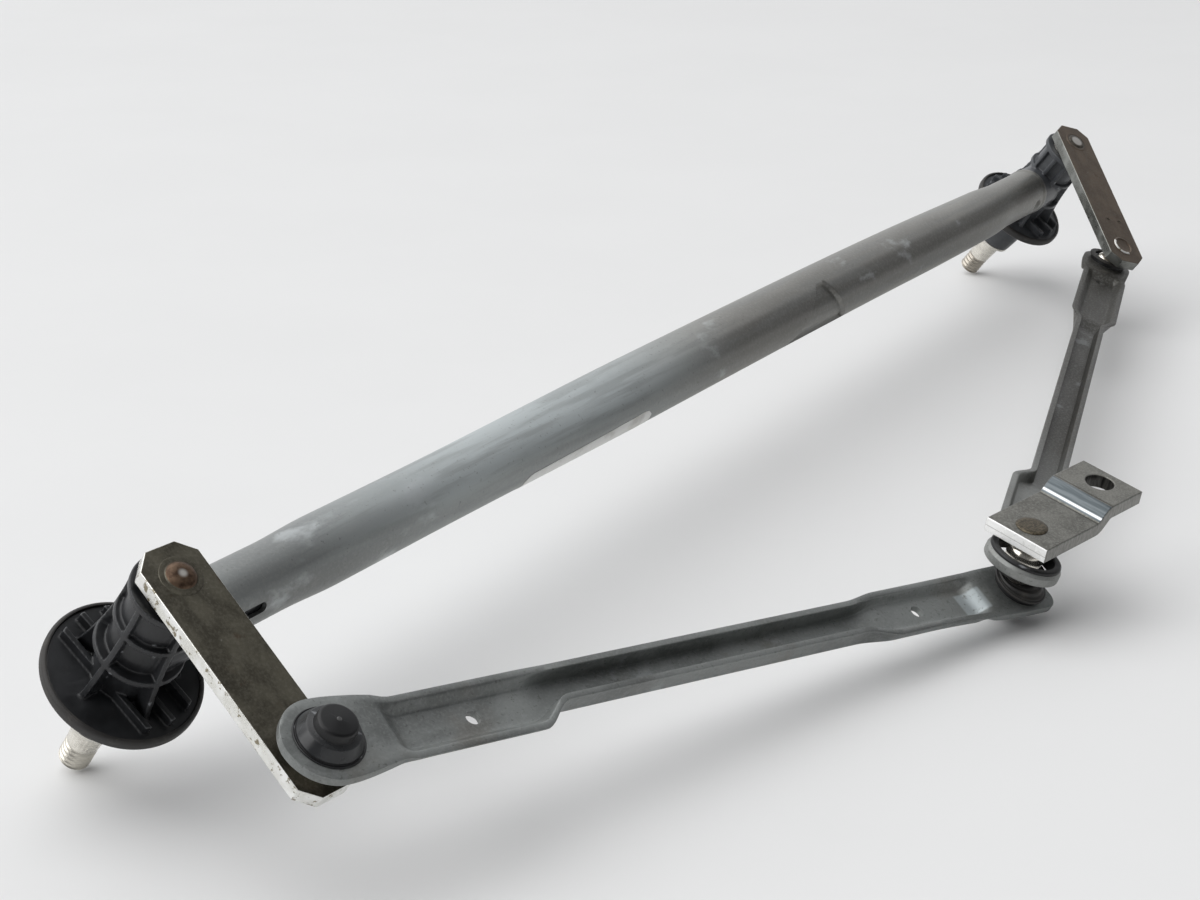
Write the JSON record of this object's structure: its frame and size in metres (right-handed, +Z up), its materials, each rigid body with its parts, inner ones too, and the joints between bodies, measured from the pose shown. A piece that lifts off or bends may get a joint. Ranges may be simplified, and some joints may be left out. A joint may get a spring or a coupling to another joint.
{
  "type": "wiper linkage",
  "caption": "Windscreen wiper linkage: a steel tube joins ribbed pivot housings, whose spindle levers are driven by pressed ball-jointed rods from a stepped crank.",
  "frame": {"origin": "centre of the left spindle's threaded end", "axes": "+X along the frame tube to the right spindle, +Z up as the linkage lies on its spindle ends and centre joint"},
  "size_m": [0.7078, 0.2263, 0.0854],
  "materials": {
    "tube_zinc": "zinc plated, dull, patchy",
    "housing_plastic": "glass-filled black moulding",
    "seal_rubber": "matt black rubber",
    "bush_bronze": "sintered bronze",
    "spindle_nickel": "turned, nickel plated",
    "lever_steel": "zinc plated flat bar, browned on the faces",
    "stud_steel": "polished ball",
    "washer_steel": "plated spring steel",
    "rod_zinc": "zinc plated pressing, dull",
    "socket_plastic": "black acetal",
    "crank_zinc": "zinc plated plate"
  },
  "bodies": {
    "frame": {"frame_tube": "tube_zinc", "left_housing": "housing_plastic", "right_housing": "housing_plastic", "left_flange_seal": "seal_rubber", "right_flange_seal": "seal_rubber", "left_upper_bush": "bush_bronze", "left_lower_bush": "bush_bronze", "right_upper_bush": "bush_bronze", "right_lower_bush": "bush_bronze", "left_shaft_seal": "seal_rubber", "right_shaft_seal": "seal_rubber"},
    "left_lever_assembly": {"left_spindle": "spindle_nickel", "left_lever": "lever_steel", "left_ball_stud": "stud_steel", "left_thrust_washer": "washer_steel", "left_retaining_washer": "washer_steel", "left_circlip": "washer_steel"},
    "right_lever_assembly": {"right_spindle": "spindle_nickel", "right_lever": "lever_steel", "right_ball_stud": "stud_steel", "right_thrust_washer": "washer_steel", "right_retaining_washer": "washer_steel", "right_circlip": "washer_steel"},
    "left_rod_assembly": {"left_rod": "rod_zinc", "left_outer_socket": "socket_plastic", "left_outer_dust_seal": "seal_rubber", "left_inner_socket": "socket_plastic", "left_inner_dust_seal": "seal_rubber"},
    "right_rod_assembly": {"right_rod": "rod_zinc", "right_outer_socket": "socket_plastic", "right_outer_dust_seal": "seal_rubber", "right_inner_socket": "socket_plastic"},
    "crank": {"crank_arm": "crank_zinc", "double_ball_stud": "stud_steel", "stud_boot": "seal_rubber"}
  },
  "joints": [
    {"name": "left_lever_swing", "type": "hinge", "parent": "frame", "child": "left_lever_assembly", "pos_m": [-0.00575, -0.03044, 0.03925], "axis": [-0.1149, -0.6088, 0.7849], "range_deg": [-32, 32]},
    {"name": "right_lever_swing", "type": "hinge", "parent": "frame", "child": "right_lever_assembly", "pos_m": [0.65025, -0.03044, 0.03925], "axis": [-0.1149, -0.6088, 0.7849], "range_deg": [-32.2, 32.2]},
    {"name": "left_rod_pivot", "type": "hinge", "parent": "left_lever_assembly", "child": "left_rod_assembly", "pos_m": [-0.0183, -0.11237, 0.04342], "axis": [-0.1149, -0.6088, 0.7849], "range_deg": [-35.18, 35.18]},
    {"name": "right_rod_pivot", "type": "hinge", "parent": "right_lever_assembly", "child": "right_rod_assembly", "pos_m": [0.60624, -0.09185, 0.02543], "axis": [-0.1149, -0.6088, 0.7849], "range_deg": [-33.06, 33.06]},
    {"name": "crank_turn", "type": "hinge", "parent": "left_rod_assembly", "child": "crank", "pos_m": [0.24875, -0.19409, 0.0078], "axis": [-0.0805, -0.2029, 0.9759], "continuous": true}
  ],
  "couplings": [
    {"joint": "right_lever_swing", "follows": "left_lever_swing", "ratio": 1},
    {"joint": "left_rod_pivot", "follows": "left_lever_swing", "ratio": -1.0931},
    {"joint": "right_rod_pivot", "follows": "left_lever_swing", "ratio": -1.0268}
  ]
}
